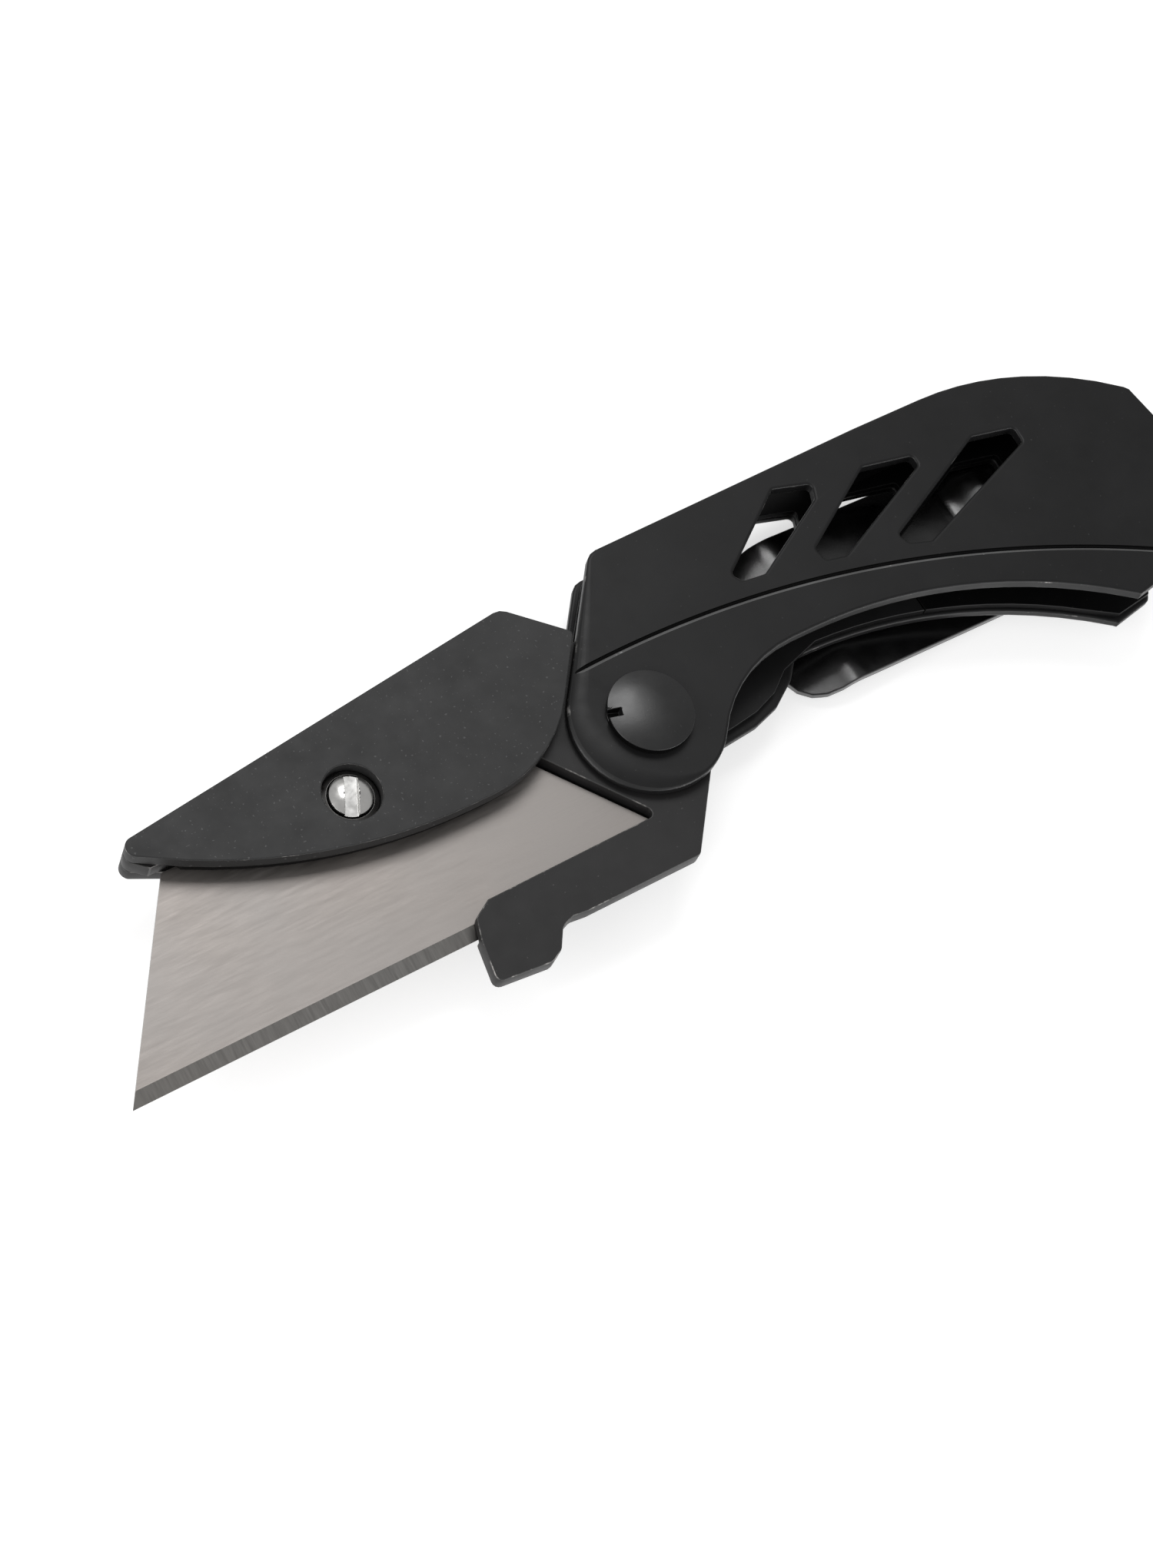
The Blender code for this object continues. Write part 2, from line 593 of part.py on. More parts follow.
def grind_cutter(name, side, cutters):
    """A wedge along the edge that grinds one side of the blade: side is 1 in front, -1 behind."""
    middle = BODY_Z + BLADE_THICK / 2
    edge_y = BLADE_TIP[1]
    slope = (BLADE_THICK - EDGE_THICK) / 2 / BEVEL_WIDTH
    beyond = 1.0
    outer = BLADE_THICK / 2 + beyond
    corners = [(edge_y - beyond, outer), (edge_y - beyond, EDGE_THICK / 2 - slope * beyond)]
    corners += [(edge_y + BEVEL_WIDTH, BLADE_THICK / 2), (edge_y + BEVEL_WIDTH, outer)]
    start, length = BLADE_TIP[0] - beyond, BLADE_LONG + 2 * beyond
    wedge = bmesh.new()
    near = [wedge.verts.new((start * MM, y * MM, (middle + side * z) * MM)) for y, z in corners]
    made = bmesh.ops.extrude_face_region(wedge, geom=[wedge.faces.new(near)])["geom"]
    far = [v for v in made if isinstance(v, bmesh.types.BMVert)]
    bmesh.ops.translate(wedge, verts=far, vec=(length * MM, 0.0, 0.0))
    bmesh.ops.recalc_face_normals(wedge, faces=wedge.faces)
    mesh = bpy.data.meshes.new(name)
    wedge.to_mesh(mesh)
    wedge.free()
    cutter = bpy.data.objects.new(name, mesh)
    cutter.location = (PIVOT_X * MM, PIVOT_Y * MM, 0.0)
    cutters.objects.link(cutter)
    return as_cutter(cutter)


def make_blade(parts, cutters):
    blade = plate("blade", [notched_blade()], BODY_Z, BODY_Z + BLADE_THICK, parts)
    cut(blade, grind_cutter("front_grind_cutter", 1, cutters))
    cut(blade, grind_cutter("rear_grind_cutter", -1, cutters))
    finish(blade, "blade_steel")


def tang_end():
    """The round tang between the scales, with the flat face that the lock leaf meets."""
    flat = degrees(acos(LOCK_FACE_X / TANG_R))
    return arc((0.0, 0.0), TANG_R, -62.0, -flat), arc((0.0, 0.0), TANG_R, flat, 90.0)


def stop_track():
    """The arc-shaped track that the stop pin runs in as the carrier folds."""
    half = STOP_PIN_R + LAYER_GAP
    first, last = STOP_PIN_ANGLE, STOP_PIN_ANGLE - FOLD_ANGLE
    outer = pivot_end(STOP_TRACK_R + half, first, last)
    inner = pivot_end(STOP_TRACK_R - half, last, first)
    end_a, end_b = radians(first), radians(last)
    cap_a = arc((STOP_TRACK_R * cos(end_a), STOP_TRACK_R * sin(end_a)), half, first + 180.0, first + 0.0)
    cap_b = arc((STOP_TRACK_R * cos(end_b), STOP_TRACK_R * sin(end_b)), half, last, last - 180.0)
    return outer[1:-1] + cap_b[::4] + inner[1:-1] + cap_a[::4]


def hook():
    """The lip and the hook, from the lip's inner end round to the carrier's lower edge."""
    points = []
    for before, corner, after in zip(HOOK, HOOK[1:], HOOK[2:]):
        points += fillet(before, corner, after, HOOK_CORNER_R)
    return [HOOK[0]] + points + [HOOK[-1]]


def fin_shoulder():
    """The rounded corner where the fin's top edge turns down to the tang."""
    return fillet((-20.0, fin_top(-20.0)), FIN_SHOULDER, FIN_CORNER, 1.6)


def carrier_outline():
    """The body's outline, anticlockwise from the lip, with the recess that holds the blade."""
    lower_tang, upper_tang = tang_end()
    low_corner = fillet((-10.0, LIP_LOW_Y), (-2.9, LIP_LOW_Y), (1.5, -9.5), 0.6)
    low_right, high_right = blade_outline(RECESS_GAP)[1:3]
    back = high_right[1]
    # The recess runs from the lip's inner edge up the blade's end, then left along the blade's back.
    end_slope = (low_right[0] - high_right[0]) / (back - low_right[1])
    lip_corner = (high_right[0] + (back - LIP_Y) * end_slope, LIP_Y)
    lip_end = fillet((-15.0, LIP_Y), lip_corner, high_right, 0.6)
    nose = [p for p in fin_nose() if p[1] > back + 0.2]
    outline = hook() + low_corner + lower_tang + upper_tang + [FIN_CORNER] + fin_shoulder()[::-1]
    return outline + nose[::-1] + [(FIN_TIP[0] + 0.6, back), high_right] + lip_end[::-1]


def make_carrier_body(parts, cutters):
    loops = [carrier_outline(), circle((0.0, 0.0), PIVOT_HOLE_R), stop_track()]
    body = plate("carrier_body", loops, BODY_Z, BODY_TOP, parts)
    below = BODY_Z - 1.0
    pocket = plate("blade_pocket_cutter", [blade_outline(FIT_GAP)], below, CLAMP_Z, cutters)
    cut(body, as_cutter(pocket))
    for i, at in enumerate(RIVETS, 1):
        top = BODY_Z + RIVET_DEPTH + LAYER_GAP
        hole = plate(f"rivet_cutter_{i}", [circle(at, RIVET_R + LAYER_GAP, 16)], below, top, cutters)
        cut(body, as_cutter(hole))
    finish(body, "black_steel")


def make_cover(parts):
    cover_loops = [fin_outline(FIT_GAP), circle(SCREW_AT, WINDOW_R, 32)]
    finish(plate("front_cover", cover_loops, COVER_Z, FRONT_TOP, parts), "black_steel")
    # The clamp lies inside the fin and presses on the blade only.
    top = blade_outline(RECESS_GAP)[2][1] - 0.3
    low = [(x, y + 0.3) for x, y in fin_lower(FIT_GAP) if y + 0.3 < top and x < -13.2]
    outline = low + [(low[-1][0] - 0.4, top), (low[0][0] - 3.2, top)]
    clamp_loops = [outline, circle(SCREW_AT, BLADE_SHANK_HOLE_R, 24)]
    finish(plate("clamp_plate", clamp_loops, CLAMP_Z, BODY_TOP, parts), "black_steel")


def make_rear_plate(parts, cutters):
    lower_tang, upper_tang = tang_end()
    lower = [p for p in fin_lower(FIT_GAP + 0.4) if p[0] < -26.0][::-1]
    outline = lower_tang + upper_tang + [FIN_CORNER] + fin_shoulder()[::-1] + fin_nose()[::-1]
    outline += lower + [(-22.0, -9.5), (-19.0, -11.0), (-3.0, -11.0)]
    loops = [outline, circle((0.0, 0.0), PIVOT_HOLE_R), stop_track(), circle(SCREW_AT, NUT_R + LAYER_GAP)]
    loops += [circle(at, RIVET_R + LAYER_GAP, 16) for at in RIVETS]
    rear = plate("rear_plate", loops, REAR_PLATE_Z, REAR_PLATE_TOP, parts)
    # The leaf has this room when the knife is closed.
    top = REAR_PLATE_Z + LEAF_RELIEF_DEPTH
    relief = plate("leaf_relief_cutter", [rounded(LEAF_RELIEF, 1.0)], REAR_PLATE_Z - 1.0, top, cutters)
    cut(rear, as_cutter(relief))
    finish(rear, "black_steel")
    for i, at in enumerate(RIVETS, 1):
        top = BODY_Z + RIVET_DEPTH
        pin = [(0.0, top), (RIVET_R, top), (RIVET_R, REAR_PLATE_Z), (0.0, REAR_PLATE_Z)]
        finish(turned(f"carrier_rivet_{i}", pin, at, parts, 16), "black_steel")


def make_blade_screw(parts, cutters):
    seat, top = BODY_TOP + LAYER_GAP, FRONT_TOP - LAYER_GAP
    low, rim = REAR_PLATE_Z + 0.2, seat + 0.8
    profile = dome(BLADE_HEAD_R, rim, top, 6)
    profile += [(BLADE_HEAD_R, seat), (BLADE_SHANK_R, seat), (BLADE_SHANK_R, low), (0.0, low)]
    screw = turned("blade_screw", profile, SCREW_AT, parts, 24)
    wide, long, deep = DRIVER_SLOT
    corners = [(-wide / 2, -long / 2), (wide / 2, -long / 2), (wide / 2, long / 2), (-wide / 2, long / 2)]
    slot = plate("driver_slot_cutter", [corners], top - deep, top + 1.0, cutters)
    slot.location.x += SCREW_AT[0] * MM
    slot.location.y += SCREW_AT[1] * MM
    slot.rotation_euler.z = radians(DRIVER_SLOT_ANGLE)
    cut(screw, as_cutter(slot))
    finish(screw, "bright_steel")
    bore = BLADE_SHANK_R + LAYER_GAP
    nut = [(bore, REAR_PLATE_TOP), (NUT_R, REAR_PLATE_TOP), (NUT_R, REAR_PLATE_Z), (bore, REAR_PLATE_Z)]
    finish(turned("blade_nut", nut, SCREW_AT, parts), "bright_steel")
    inner, outer = RING_R
    high, low = RING_HIGH
    ring = [(inner, COVER_Z + high), (outer, COVER_Z + low), (outer, COVER_Z), (inner, COVER_Z)]
    finish(turned("screw_ring", ring, SCREW_AT, parts, 24), "bright_steel")


def clip_line():
    """The middle line of the clip's sheet in side view, from the base at the butt to the flared end."""
    half = CLIP_THICK / 2
    base = REAR_SCALE_Z - LAYER_GAP - half
    root = [(CLIP_BUTT_X, base), (CLIP_ROOT_X, base), (CLIP_ROOT_X - 1.6, base - 0.15)]
    arm = [(49.6, 1.15), (48.0, 0.98), (28.6, base - 0.35)]
    contact = [(27.4, base - 0.18), (26.2, base - 0.3), (24.9, base - 0.75)]
    return root + arm + contact + [(CLIP_END_X - 0.6, half)]


def clip_sheet(name, plan, parts, cutters):
    """The part of the bent sheet that lies over the plan outline."""
    half = CLIP_THICK / 2
    line = clip_line()
    upper, lower = [], []
    for i, (x, z) in enumerate(line):
        ax, az = line[max(i - 1, 0)]
        bx, bz = line[min(i + 1, len(line) - 1)]
        length = hypot(bx - ax, bz - az)
        nx, nz = (bz - az) / length, -(bx - ax) / length
        upper.append((x + nx * half, z + nz * half))
        lower.append((x - nx * half, z - nz * half))
    width = CLIP_TOP_Y - CLIP_LOW_Y + 4.0
    sheet = plate(name, [upper + lower[::-1]], 0.0, width, parts, center=(CLIP_ROOT_X, 0.0))
    sheet.rotation_euler.x = pi / 2
    middle_y = (CLIP_TOP_Y + CLIP_LOW_Y) / 2
    sheet.location = ((PIVOT_X + CLIP_ROOT_X) * MM, (PIVOT_Y + middle_y) * MM, 0.0)
    cutter = plate(name + "_cutter", [plan], -2.0, 8.0, cutters)
    cut(sheet, as_cutter(cutter), "INTERSECT")
    finish(sheet, "black_steel")
    return sheet


def make_clip(parts, cutters):
    inner_x = (CLIP_END_X + CLIP_ROOT_X) / 2
    ends = [(CLIP_END_X, CLIP_TOP_Y), (CLIP_END_X, CLIP_LOW_Y)]
    free_end = rounded(ends + [(inner_x, CLIP_LOW_Y), (inner_x, CLIP_TOP_Y)], CLIP_CORNER_R)
    arm_end = CLIP_ROOT_X - CLIP_SEAM / 2
    corners = sorted((p for p in free_end if p[0] < inner_x - CLIP_CORNER_R - 1), key=lambda p: p[1])
    clip_sheet("clip_arm", corners + [(arm_end, CLIP_TOP_Y), (arm_end, CLIP_LOW_Y)], parts, cutters)
    start = CLIP_ROOT_X + CLIP_SEAM / 2
    butt_side = rounded([(inner_x, CLIP_LOW_Y), (inner_x, CLIP_TOP_Y)] + CLIP_BUTT, CLIP_CORNER_R)
    plan = [(start, CLIP_LOW_Y), (start, CLIP_TOP_Y)] + [p for p in butt_side if p[0] > start]
    base = clip_sheet("clip_base", plan, parts, cutters)
    for i, at in enumerate(CLIP_SCREWS, 1):
        cutter = plate(f"clip_hole_cutter_{i}", [circle(at, SCREW_HOLE_R, 16)], -1.0, 6.0, cutters)
        cut(base, as_cutter(cutter))


def main():
    clear_scene()
    parts = new_collection("utility_knife")
    cutters = new_collection("cutters")
    make_scales(parts, cutters)
    make_liner(parts)
    make_leaf(parts)
    make_pivot(parts, cutters)
    make_frame_hardware(parts, cutters)
    make_carrier_body(parts, cutters)
    make_cover(parts)
    make_rear_plate(parts, cutters)
    make_blade(parts, cutters)
    make_blade_screw(parts, cutters)
    make_clip(parts, cutters)


main()
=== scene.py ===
"""Looks of the folding utility knife: rounded plates under a black coating, a ground steel blade and
turned screws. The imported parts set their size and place, and the constants give the finer details."""

import bmesh
import bpy
from math import asin, cos, hypot, pi, radians, sin
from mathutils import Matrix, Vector
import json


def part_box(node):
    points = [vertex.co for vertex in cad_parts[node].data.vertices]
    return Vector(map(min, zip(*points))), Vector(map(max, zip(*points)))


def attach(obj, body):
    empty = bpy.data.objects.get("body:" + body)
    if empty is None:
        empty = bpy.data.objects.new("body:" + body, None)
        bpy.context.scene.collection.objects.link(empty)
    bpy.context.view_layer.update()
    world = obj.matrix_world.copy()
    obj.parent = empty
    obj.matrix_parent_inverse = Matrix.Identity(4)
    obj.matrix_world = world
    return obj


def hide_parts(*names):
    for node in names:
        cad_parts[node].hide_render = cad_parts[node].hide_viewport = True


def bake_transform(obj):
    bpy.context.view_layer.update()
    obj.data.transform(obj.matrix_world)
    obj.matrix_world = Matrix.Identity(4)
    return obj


MM = 0.001
PIVOT = Vector((-3.75, -0.65, 0.0)) * MM

# Edges that bend more than this many degrees are sharp.
SHARP = 32.0
TURNED_SHARP = 40.0

# The front scale's rounding reaches farther in round the pivot: the band it does so in, the direction
# where it is widest, its extra reach there, and how deep the plate dips under that reach.
ROLL_BAND = (5.0, 9.0)
ROLL_SIDE = Vector((-0.97, -0.23))
ROLL_REACH = 2.7
ROLL_DIP = 0.58

# The clip's sheet, about the pivot in millimetres: its middle line in side view from the butt to the
# flared end, then the limits of its plan as (x, lowest y, highest y), and where it bends.
CLIP_LINE = [(65.8, 2.6), (58.0, 2.6), (54.0, 2.6), (52.4, 2.45), (49.6, 1.15), (48.0, 0.98), (38.3, 1.61),
             (28.6, 2.25), (27.4, 2.42), (26.2, 2.3), (24.9, 1.85), (22.5, 1.20), (20.45, 0.69)]
CLIP_PLAN = [(65.7, 3.2, 10.0), (65.5, 2.4, 11.0), (65.1, 1.6, 11.6), (62.6, -2.6, 13.3), (61.8, -3.3, 13.9),
             (60.6, -3.6, 14.3), (59.5, -3.6, 14.4), (25.1, -3.6, 14.4), (23.3, -3.35, 14.15),
             (22.0, -2.65, 13.45), (21.0, -1.5, 12.3), (20.45, 0.0, 10.8)]
CLIP_THICK = 1.0
CLIP_ACROSS = 10
CLIP_SPACING = 0.12

# The engraved line on the front scale, an arc about the pivot's frame in millimetres: its circle, its
# two ends along the arc, and its profile as (across, height above the plate).
GROOVE_R = 121.0
GROOVE_TOP = (3.0, 7.3)
GROOVE_START = -5.7
GROOVE_END = 67.0
GROOVE_STEPS = 72
GROOVE = [(-0.42, 0.3), (-0.42, 0.0), (-0.10, -0.22), (0.05, -0.30), (0.18, -0.22), (0.22, 0.0), (0.22, 0.3)]

# Heads of the two screws seen in front, from the top down: the seat, and the rim above the seat.
PIVOT_HEAD = (1.55, 0.9)
PIVOT_SHANK_R = 1.3
PIVOT_NOTCH = (1.35, 0.85)
PIVOT_NOTCH_ANGLE = -20.0
BLADE_HEAD = (1.35, 0.8)
BLADE_SHANK_R = 1.3
DRIVER_SLOT = (6.0, 1.35, 0.85)
DRIVER_SLOT_ANGLE = 62.0

# The rear screws: the head's height, the shank's radius, and the socket's radius and depth.
REAR_HEAD_HIGH = 0.7
REAR_SHANK_R = 0.95
REAR_SOCKET = (0.72, 0.5)


def new_material(name):
    material = bpy.data.materials.new(name)
    material.use_nodes = True
    return material, material.node_tree.nodes, material.node_tree.links


def noise(nodes, links, scale, detail=2.0, rough=0.5, stretch=None):
    """A noise in object space, with scale in cells per metre; stretch gives a scale for each axis."""
    place = nodes.new("ShaderNodeTexCoord")
    source = place.outputs["Object"]
    if stretch:
        mapping = nodes.new("ShaderNodeMapping")
        mapping.inputs["Scale"].default_value = stretch
        links.new(source, mapping.inputs["Vector"])
        source = mapping.outputs["Vector"]
    made = nodes.new("ShaderNodeTexNoise")
    made.inputs["Scale"].default_value = scale
    made.inputs["Detail"].default_value = detail
    made.inputs["Roughness"].default_value = rough
    links.new(source, made.inputs["Vector"])
    return made.outputs["Fac"]


def remap(nodes, links, value, low, high, out_low=0.0, out_high=1.0):
    ranged = nodes.new("ShaderNodeMapRange")
    for name, number in zip(("From Min", "From Max", "To Min", "To Max"), (low, high, out_low, out_high)):
        ranged.inputs[name].default_value = number
    links.new(value, ranged.inputs["Value"])
    return ranged.outputs["Result"]


def blend_colors(nodes, links, factor, first, second):
    """A colour mixed by factor; first and second are colours or sockets."""
    mix = nodes.new("ShaderNodeMix")
    mix.data_type = "RGBA"
    links.new(factor, mix.inputs["Factor"])
    for name, color in (("A", first), ("B", second)):
        socket = [s for s in mix.inputs if s.name == name and s.type == "RGBA"][0]
        if isinstance(color, tuple):
            socket.default_value = (*color, 1.0)
        else:
            links.new(color, socket)
    return [s for s in mix.outputs if s.type == "RGBA"][0]


def bump(nodes, links, shader, heights):
    """Chains bumps of (height socket, distance in metres) into the shader's normal."""
    normal = None
    for height, distance in heights:
        node = nodes.new("ShaderNodeBump")
        node.inputs["Distance"].default_value = distance
        links.new(height, node.inputs["Height"])
        if normal:
            links.new(normal, node.inputs["Normal"])
        normal = node.outputs["Normal"]
    links.new(normal, shader.inputs["Normal"])


def coating(name, base, rough, metallic=0.0, specular=0.5, worn=0.0, specks=0.815):
    """Black coated steel: soft smudges, fine grain, light specks, and bare metal where it is worn."""
    material, nodes, links = new_material(name)
    shader = nodes["Principled BSDF"]
    shader.inputs["Specular IOR Level"].default_value = specular
    smudge = remap(nodes, links, noise(nodes, links, 110.0, 3.0, 0.6), 0.3, 0.7)
    dark = tuple(c * 0.82 for c in base)
    light = tuple(c * 1.2 for c in base)
    color = blend_colors(nodes, links, smudge, dark, light)
    speck = remap(nodes, links, noise(nodes, links, 3400.0, 0.0, 0.4), specks, specks + 0.06)
    color = blend_colors(nodes, links, speck, color, tuple(c * 2.6 + 0.008 for c in base))
    if worn:
        broad = noise(nodes, links, 420.0, 4.0, 0.7)
        chips = remap(nodes, links, broad, 0.62 - 0.25 * worn, 0.74 - 0.25 * worn)
        color = blend_colors(nodes, links, chips, color, (0.30, 0.29, 0.28))
        links.new(remap(nodes, links, chips, 0.0, 1.0, metallic, 0.9), shader.inputs["Metallic"])
    else:
        shader.inputs["Metallic"].default_value = metallic
    links.new(color, shader.inputs["Base Color"])
    uneven = noise(nodes, links, 340.0, 3.0, 0.6)
    links.new(remap(nodes, links, uneven, 0.3, 0.7, rough - 0.05, rough + 0.06), shader.inputs["Roughness"])
    grain = noise(nodes, links, 5200.0, 2.0, 0.6)
    waves = noise(nodes, links, 260.0, 2.0, 0.5)
    bump(nodes, links, shader, [(waves, 0.010 * MM), (grain, 0.0035 * MM)])
    return material


def ground_steel(name, base, rough, stretch, lines=0.0016):
    """Bare steel with grinding lines; stretch makes the noise long in the lines' direction."""
    material, nodes, links = new_material(name)
    shader = nodes["Principled BSDF"]
    shader.inputs["Metallic"].default_value = 1.0
    fine = noise(nodes, links, 1000.0, 4.0, 0.65, stretch)
    cloud = noise(nodes, links, 70.0, 2.0, 0.5)
    dark = tuple(c * 0.88 for c in base)
    light = tuple(min(1.0, c * 1.10) for c in base)
    streaked = blend_colors(nodes, links, remap(nodes, links, fine, 0.3, 0.7), dark, light)
    warm = (base[0] * 1.02, base[1] * 0.985, base[2] * 0.96)
    clouded = remap(nodes, links, cloud, 0.35, 0.7, 0.0, 0.6)
    links.new(blend_colors(nodes, links, clouded, streaked, warm), shader.inputs["Base Color"])
    links.new(remap(nodes, links, fine, 0.3, 0.7, rough - 0.05, rough + 0.06), shader.inputs["Roughness"])
    bump(nodes, links, shader, [(fine, lines * MM)])
    return material


def plated(name, base, rough):
    """Bright plated or turned metal, with faint cloudy unevenness in its colour and roughness."""
    material, nodes, links = new_material(name)
    shader = nodes["Principled BSDF"]
    shader.inputs["Metallic"].default_value = 1.0
    cloud = noise(nodes, links, 900.0, 3.0, 0.6)
    dark = tuple(c * 0.93 for c in base)
    color = blend_colors(nodes, links, remap(nodes, links, cloud, 0.3, 0.7), dark, base)
    links.new(color, shader.inputs["Base Color"])
    links.new(remap(nodes, links, cloud, 0.3, 0.7, rough * 0.8, rough * 1.4), shader.inputs["Roughness"])
    return material


def body_of(node):
    for body, nodes in frame["record"]["behaviour"]["bodies"].items():
        if node in nodes:
            return body
    raise KeyError(node)


def welded(mesh, angle=0.6):
    """Welds a mesh and dissolves the edges inside its flat faces."""
    work = bmesh.new()
    work.from_mesh(mesh)
    bmesh.ops.remove_doubles(work, verts=work.verts, dist=0.001 * MM)
    bmesh.ops.dissolve_limit(work, angle_limit=radians(angle), verts=work.verts, edges=work.edges)
    bmesh.ops.recalc_face_normals(work, faces=work.faces)
    work.to_mesh(mesh)
    work.free()


def edge_width(edge, thickness, widths):
    """How far this edge is rounded: widths are for the front rim, the other edges and the engraving."""
    front, other, engraved = widths
    caps = [f for f in edge.link_faces if abs(f.normal.z) > 0.9]
    walls = [f for f in edge.link_faces if abs(f.normal.z) <= 0.9]
    if not caps or not walls:
        return other
    heights = [v.co.z for v in walls[0].verts]
    if max(heights) - min(heights) < 0.5 * thickness:
        return engraved
    return front if caps[0].normal.z > 0 else other


def round_edges(piece, widths, limit):
    """Rounds the edges that bend more than limit, which take the piece's second material. The faces that
    lie level shade flat. The widths are in millimetres."""
    for polygon in piece.data.polygons:
        polygon.use_smooth = abs(polygon.normal.z) < 0.9999
    work = bmesh.new()
    work.from_mesh(piece.data)
    weights = work.edges.layers.float.new("bevel_weight_edge")
    heights = [v.co.z for v in work.verts]
    for edge in work.edges:
        if edge.is_manifold and edge.calc_face_angle() > radians(limit):
            edge[weights] = edge_width(edge, max(heights) - min(heights), widths) / max(widths)
    work.to_mesh(piece.data)
    work.free()
    bevel = piece.modifiers.new("rounded edges", "BEVEL")
    bevel.width = max(widths) * MM
    bevel.segments = 4
    bevel.limit_method = "WEIGHT"
    bevel.use_clamp_overlap = False
    bevel.harden_normals = True
    bevel.miter_outer = "MITER_ARC"
    bevel.material = min(1, len(piece.data.materials) - 1)


def install(piece, nodes, materials, width, body=None, limit=SHARP):
    """Gives a piece its materials, its edges and its body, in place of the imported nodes. The width is in
    millimetres, or three widths as edge_width takes them; body False leaves the body to the caller."""
    piece.data.materials.clear()
    for material in materials:
        piece.data.materials.append(material)
    for polygon in piece.data.polygons:
        polygon.material_index = 0
    round_edges(piece, width if isinstance(width, tuple) else (width, width, width), limit)
    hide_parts(*nodes)
    if body is not False:
        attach(piece, body or body_of(nodes[0]))
    return piece


def new_piece(name, mesh):
    piece = bpy.data.objects.new(name, mesh)
    bpy.context.scene.collection.objects.link(piece)
    return piece


def refined(node, materials, width=0.12, limit=SHARP):
    """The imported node's own shape with rounded edges."""
    mesh = frame["nodes"][node].data.copy()
    mesh.transform(frame["nodes"][node].matrix_world)
    welded(mesh)
    return install(new_piece(node + "_fine", mesh), [node], materials, width, limit=limit)


def cap_loops(mesh):
    """The outline and the holes of a plate's rear face, each with the plate on its left."""
    work = bmesh.new()
    work.from_mesh(mesh)
    bmesh.ops.remove_doubles(work, verts=work.verts, dist=0.001 * MM)
    bottom = min(v.co.z for v in work.verts)
    caps = {f for f in work.faces if f.normal.z < -0.9 and f.calc_center_median().z < bottom + 0.01 * MM}
    following = {}
    for face in caps:
        for corner in face.loops:
            if not all(other in caps for other in corner.edge.link_faces):
                following[corner.link_loop_next.vert] = corner.vert
    loops = []
    while following:
        start, vert = next(iter(following.items()))
        del following[start]
        loop = [start.co.xy.copy()]
        while vert in following:
            loop.append(vert.co.xy.copy())
            vert = following.pop(vert)
        loops.append([p for p, q in zip(loop, loop[1:] + loop[:1]) if (p - q).length > 0.02 * MM])
    work.free()
    return loops


def moved_in(loop, distances):
    """The loop moved into the plate by a distance for each of its points."""
    moved = []
    for before, point, after, distance in zip(loop[-1:] + loop[:-1], loop, loop[1:] + loop[:1], distances):
        one, two = (point - before).normalized(), (after - point).normalized()
        normal_one, normal_two = Vector((-one.y, one.x)), Vector((-two.y, two.x))
        share = max(1.0 + normal_one.dot(normal_two), 0.5)
        moved.append(point + (normal_one + normal_two) / share * distance)
    return moved


def pivot_roll(point):
    """How much farther in the front scale's rounding reaches, on the pivot end's side away from the spine."""
    out = point - PIVOT.xy
    if not ROLL_BAND[0] * MM < out.length < ROLL_BAND[1] * MM:
        return 0.0
    return ROLL_REACH * max(0.0, out.normalized().dot(ROLL_SIDE))


def rolled_plate(node, materials, front, rear=(0.1, 0.1), wider=None, pieces=6):
    """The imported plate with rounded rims: front and rear are how far the rounding reaches in and down.
    The last two materials are for the wall and the rim; wider gives a point's extra reach in front."""
    source = frame["nodes"][node].data
    heights = [v.co.z for v in source.vertices]
    bottom, top = min(heights), max(heights)
    middle = (bottom + top) / 2
    turns = [pi / 2 * i / pieces for i in range(pieces + 1)]
    dip = ROLL_DIP * MM / ROLL_REACH
    steps = [(0.0, rear[0] * (1 - cos(a)), bottom + rear[1] * MM * (1 - sin(a))) for a in turns[::-1]]
    steps += [(1 - cos(a), front[0] * (1 - cos(a)), top - front[1] * MM * (1 - sin(a))) for a in turns]
    work = bmesh.new()
    rims = {0: [], len(steps) - 1: []}
    for loop in cap_loops(source):
        extra = [wider(p) if wider else 0.0 for p in loop]
        rings = []
        for share, inset, z in steps:
            places = moved_in(loop, [(inset + share * more) * MM for more in extra])
            lower = dip * (1 - share) ** 2 if z > middle else 0.0
            rings.append([work.verts.new((q.x, q.y, z - lower * more)) for q, more in zip(places, extra)])
        count = len(loop)
        sides = [loop[(i + 1) % count] - loop[i] for i in range(count)]
        bends = [abs(sides[i - 1].angle_signed(sides[i])) for i in range(count)]
        for level, (lower, upper) in enumerate(zip(rings, rings[1:])):
            for i in range(count):
                j = (i + 1) % count
                face = work.faces.new((lower[i], lower[j], upper[j], upper[i]))
                if level == pieces:
                    face.material_index = len(materials) - 2
                elif level in (pieces - 1, pieces + 1, pieces + 2):
                    face.material_index = len(materials) - 1
        for level in rims:
            ring = rings[level]
            rims[level] += [work.edges.get((ring[i], ring[(i + 1) % count])) for i in range(count)]
        for lower, upper in zip(rings, rings[1:]):
            for i, bend in enumerate(bends):
                if bend > radians(SHARP):
                    work.edges.get((lower[i], upper[i])).smooth = False
    for level, side in ((0, -1.0), (len(steps) - 1, 1.0)):
        bmesh.ops.triangle_fill(work, use_beauty=True, edges=rims[level], normal=(0.0, 0.0, side))
    for face in work.faces:
        face.smooth = True
    bmesh.ops.recalc_face_normals(work, faces=work.faces)
    mesh = bpy.data.meshes.new(node + "_fine")
    work.to_mesh(mesh)
    work.free()
    piece = new_piece(node + "_fine", mesh)
    for material in materials:
        mesh.materials.append(material)
    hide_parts(node)
    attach(piece, body_of(node))
    return piece


